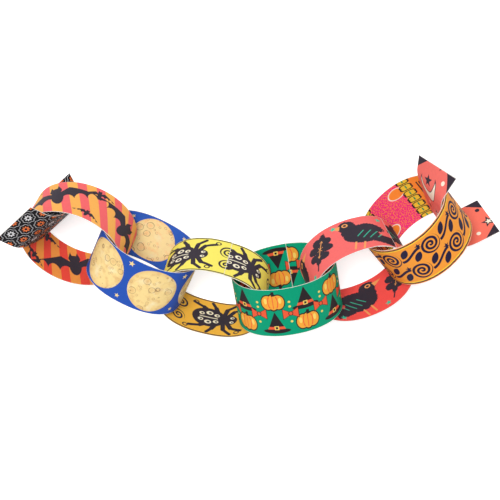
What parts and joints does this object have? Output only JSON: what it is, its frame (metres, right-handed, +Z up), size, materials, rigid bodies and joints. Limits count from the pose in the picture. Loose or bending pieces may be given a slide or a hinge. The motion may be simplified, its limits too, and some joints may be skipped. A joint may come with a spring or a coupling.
{
  "type": "paper chain garland",
  "caption": "Garland of printed paper strips, looped through each other as closed links with an open hook at each end, lying on a flat surface.",
  "frame": {"origin": "middle of the foot of the garland's bounding box, on the surface it lies on", "axes": "+X along the garland from the flower-printed end strip to the red end strip, +Y towards the side that both ends curve to, +Z up from the surface"},
  "size_m": [0.32, 0.115, 0.0703],
  "materials": {
    "flower_end_strip": "matt, black printed with white and orange flowers",
    "striped_link": "matt, orange and salmon stripes with black motifs",
    "moon_link": "matt, blue printed with cream discs",
    "yellow_link": "matt, yellow with black motifs",
    "green_link": "matt, green with orange and black motifs",
    "red_link": "matt, salmon red with dark motifs",
    "orange_link": "matt, orange outside and pink inside",
    "red_end_strip": "matt, salmon red with black corners"
  },
  "bodies": {
    "root": {"flower_end_strip": "flower_end_strip", "striped_link": "striped_link", "moon_link": "moon_link", "yellow_link": "yellow_link", "green_link": "green_link", "red_link": "red_link", "orange_link": "orange_link", "red_end_strip": "red_end_strip"}
  },
  "joints": []
}
